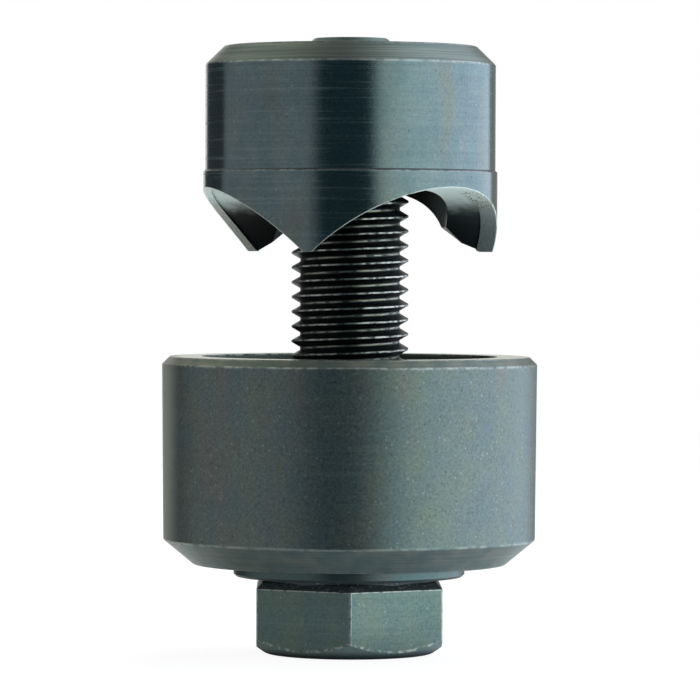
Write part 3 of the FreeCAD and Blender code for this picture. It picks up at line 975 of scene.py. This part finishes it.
@dataclass
class ThrustBearing:
    """The thrust ball bearing between the screw's head and the die.

    Attributes:
        underside: Painted shade on the lower race's underside.
        ball_tones: Colours of the balls.
        brass_tones: Colours of the cage.
        finish: Finish of the two races.
    """

    underside: Colour = (0.1, 0.13, 0.13)
    ball_tones: Tones = ((0.7, 0.71, 0.72), (0.78, 0.79, 0.8))
    brass_tones: Tones = ((0.5, 0.35, 0.13), (0.68, 0.5, 0.22))
    finish: BlackenedSteel = BlackenedSteel(
        name="race_blued",
        tones=((0.0, (0.12, 0.185, 0.185)), (0.5, (0.13, 0.195, 0.19)), (1.0, (0.145, 0.2, 0.185))),
        stain=(0.16, 0.16, 0.17),
        roughness=0.36,
        line_relief=0.0012,
        line_tone=0.3,
        line_haze=0.05,
        grain=0.5,
        specks=0.04,
    )

    def races(self) -> Material:
        """Write the races' finish."""
        tree = Finish(self.finish.name)
        coat = blackened(tree, self.finish)
        # Painted shade on the races' undersides
        return finished(tree, laid_over(tree, coat, tree.facing(Side.UNDERCUT), self.underside, 0.4))

    def polished(self) -> Material:
        """Write the balls' finish: bright steel with faint rolling marks."""
        tree = Finish("ball_polished")
        marks = tree.noise(tree.place, 6.0, 2.0)
        roughness = tree.plus(0.06, tree.times(marks, 0.08))
        colour = tree.blend(marks, *self.ball_tones)
        return finished(tree, Coat(colour, roughness, tree.times(marks, 0.0005)))

    def brass(self) -> Material:
        """Write the cage's finish: pressed brass, slightly oiled."""
        tree = Finish("cage_brass")
        oiled = tree.noise(tree.place, 1.4, 4.0)
        colour = tree.blend(oiled, *self.brass_tones)
        roughness = tree.plus(0.24, tree.times(oiled, 0.2))
        return finished(tree, Coat(colour, roughness, tree.times(oiled, 0.004)))

    def build(self, nodes: dict[str, Object]) -> None:
        """Dress the races, the cage and the balls."""
        races = self.races()
        dress(nodes["bearing_lower_race"], races)
        dress(nodes["bearing_upper_race"], races)
        dress(nodes["ball_cage"], self.brass())
        polished = self.polished()
        for name in sorted(nodes):
            if name.startswith("ball_") and name != "ball_cage":
                dress(nodes[name], polished)


def in_turns(stops: Stops) -> Stops:
    """Turn stops in degrees, from -180 to 180, into shares of a whole turn."""
    return tuple(((degrees + 180.0) / 360.0, light) for degrees, light in stops)


@dataclass
class Studio:
    """Camera, floor and light.

    Attributes:
        frame_pixels: Width and height of the photograph.
        focal_pixels: Focal length in pixels of the photograph.
        distance: Distance from the camera to the punch's axis.
        horizon: Height of the camera.
        middle: Height on the axis that is in the middle of the picture.
        aside: How far the camera stands to the right of the axis.
        roll: Roll of the camera, in degrees.
        floor_radius: Radius of the floor.
        floor_tone: How pale the floor is.
        floor_glow: Light that the floor shows to the camera.
        floor_shine: Share of that light, against the floor's own shaded tone.
        table_radius: How far the metal mirrors the floor.
        table_fade: Where the mirrored floor is gone, as a multiple of that.
        lamp_size: Width of the soft lamp.
        lamp_power: Power of the lamp, in watts.
        lamp_place: Where the lamp hangs.
        walls: Light from round the punch, by direction in degrees from the camera towards +X.
        ceiling: Light from above, from -X to +X.
        table: Light from below, by direction as for the walls.
    """

    frame_pixels: int = 700
    focal_pixels: float = 4650.0
    distance: float = 0.4745
    horizon: float = 0.04095
    middle: float = 0.03095
    aside: float = 0.00003
    roll: float = 0.2
    floor_radius: float = 0.4
    floor_tone: float = 0.8
    floor_glow: float = 1.15
    floor_shine: float = 0.8
    table_radius: float = 0.026
    table_fade: float = 1.4
    lamp_size: float = 0.5
    lamp_power: float = 3.5
    lamp_place: Place = (0.3, 0.65, 0.6)
    walls: Stops = (
        (-180, (1.1, 1.1, 1.05)),
        (-163, (0.9, 0.9, 0.84)),
        (-157, (0.05, 0.06, 0.07)),
        (-121, (0.05, 0.06, 0.07)),
        (-117, (0.325, 0.33, 0.34)),
        (-34, (0.31, 0.325, 0.345)),
        (-23, (0.017, 0.046, 0.061)),
        (15, (0.017, 0.046, 0.061)),
        (26, (0.72, 0.81, 0.77)),
        (50, (1.02, 1.17, 1.19)),
        (95, (1.33, 1.4, 1.55)),
        (141, (1.36, 1.52, 1.79)),
        (147, (0.3, 0.32, 0.28)),
        (167, (0.24, 0.26, 0.22)),
        (180, (1.1, 1.1, 1.05)),
    )
    ceiling: Stops = (
        (0.0, (0.7, 0.72, 0.66)),
        (0.25, (0.72, 0.72, 0.68)),
        (0.3, (0.42, 0.42, 0.39)),
        (0.38, (0.28, 0.28, 0.27)),
        (0.5, (0.24, 0.24, 0.25)),
        (0.56, (0.36, 0.37, 0.38)),
        (0.64, (0.62, 0.66, 0.66)),
        (0.73, (1.0, 1.07, 1.15)),
        (0.78, (1.2, 1.3, 1.55)),
        (1.0, (1.3, 1.4, 1.7)),
    )
    table: Stops = (
        (-180, (1.0, 1.0, 0.97)),
        (-145, (0.9, 0.9, 0.86)),
        (-115, (0.4, 0.4, 0.38)),
        (-34, (0.33, 0.33, 0.33)),
        (-23, (0.01, 0.025, 0.03)),
        (15, (0.01, 0.025, 0.03)),
        (26, (0.72, 0.81, 0.77)),
        (60, (1.15, 1.3, 1.3)),
        (150, (1.5, 1.7, 1.75)),
        (180, (1.0, 1.0, 0.97)),
    )

    def camera(self) -> Object:
        """Place the camera where the photograph was taken from.

        Returns:
            The camera.
        """
        data = bpy.data.cameras.new("camera")
        data.lens = self.focal_pixels * data.sensor_width / self.frame_pixels
        data.clip_start = 0.01
        camera = bpy.data.objects.new("camera", data)
        bpy.context.scene.collection.objects.link(camera)
        dip = math.atan((self.horizon - self.middle) / self.distance)
        upright = Matrix.Rotation(math.pi / 2 - dip, 4, "X")
        rolled = Matrix.Rotation(math.radians(self.roll), 4, "Z")
        camera.matrix_world = (
            Matrix.Translation((self.aside, -self.distance, self.horizon)) @ upright @ rolled
        )
        bpy.context.scene.camera = camera
        return camera

    def floor(self) -> Object:
        """Lay a plain pale floor under the punch.

        Returns:
            The floor.
        """
        plane = bmesh.new()
        bmesh.ops.create_circle(plane, cap_ends=True, segments=96, radius=self.floor_radius)
        mesh = bpy.data.meshes.new("floor")
        plane.to_mesh(mesh)
        plane.free()
        mesh.materials.append(self.floor_material())
        floor = bpy.data.objects.new("floor", mesh)
        bpy.context.scene.collection.objects.link(floor)
        return floor

    def floor_material(self) -> Material:
        """Write the floor's finish: white to the camera, and mirrored only near the punch.

        Returns:
            Its material.
        """
        material = bpy.data.materials.new("floor_white")
        tree = Tree(material)
        rays = tree.node("ShaderNodeLightPath")
        matt = tree.node("ShaderNodeBsdfDiffuse")
        matt.inputs["Color"].default_value = (self.floor_tone, self.floor_tone, self.floor_tone, 1.0)
        white = tree.node("ShaderNodeEmission")
        white.inputs["Strength"].default_value = self.floor_glow
        shining = tree.times(tree.looked_at(rays), self.floor_shine)
        pale = tree.mixed(shining, matt.outputs[0], white.outputs[0])
        place = tree.node("ShaderNodeTexCoord").outputs["Object"]
        distance = tree.vector(VectorMaths.LENGTH, place)
        beyond = tree.share(distance, self.table_radius, self.table_radius * self.table_fade)
        hidden = tree.times(rays.outputs["Is Glossy Ray"], beyond)
        clear = tree.node("ShaderNodeBsdfTransparent")
        tree.end("ShaderNodeOutputMaterial", tree.mixed(hidden, pale, clear.outputs[0]))
        return material

    def world(self) -> None:
        """Light the punch from all round, as a light tent with a gap for the camera does."""
        world = bpy.data.worlds.new("studio")
        bpy.context.scene.world = world
        tree = Tree(world)
        across, depth, level = tree.split(tree.node("ShaderNodeTexCoord").outputs["Generated"])
        angle = tree.maths(Maths.ANGLE, across, tree.times(depth, -1.0))
        turn = tree.share(angle, -math.pi, math.pi)
        walls = tree.ramp(turn, in_turns(self.walls))
        ceiling = tree.ramp(tree.share(across, -1.0, 1.0), self.ceiling)
        tent = tree.blend(tree.rise(level, 0.2, 0.6), walls, ceiling)
        table = tree.ramp(turn, in_turns(self.table))
        light = tree.node("ShaderNodeBackground")
        tree.feed(light.inputs["Color"], tree.blend(tree.rise(level, -0.12, -0.35), tent, table))
        white = tree.node("ShaderNodeBackground")
        white.inputs["Color"].default_value = (1.0, 1.0, 1.0, 1.0)
        seen = tree.looked_at(tree.node("ShaderNodeLightPath"))
        tree.end("ShaderNodeOutputWorld", tree.mixed(seen, light.outputs[0], white.outputs[0]))

    def lamp(self) -> Object:
        """Hang a large soft lamp over the floor at the right, for the floor's own light.

        Returns:
            The lamp.
        """
        data = bpy.data.lights.new("floor_lamp", "AREA")
        data.size = self.lamp_size
        data.energy = self.lamp_power
        lamp = bpy.data.objects.new("floor_lamp", data)
        bpy.context.scene.collection.objects.link(lamp)
        place = Vector(self.lamp_place)
        aim = place.to_track_quat("Z", "Y").to_matrix().to_4x4()
        lamp.matrix_world = Matrix.Translation(place) @ aim
        lamp.visible_glossy = False
        return lamp

    def build(self) -> None:
        """Set up the camera, the floor and the light."""
        bpy.context.scene.view_settings.view_transform = "Standard"
        self.camera()
        self.floor()
        self.lamp()
        self.world()


def main() -> None:
    """Dress the punch and set up its studio."""
    logging.basicConfig(level=logging.INFO, format="%(name)s: %(message)s")
    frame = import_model()
    nodes = frame["nodes"]
    for assembly in (Punch(), Die(), DrawScrew(), ThrustBearing()):
        assembly.build(nodes)
    Studio().build()


if __name__ == "__main__":
    main()
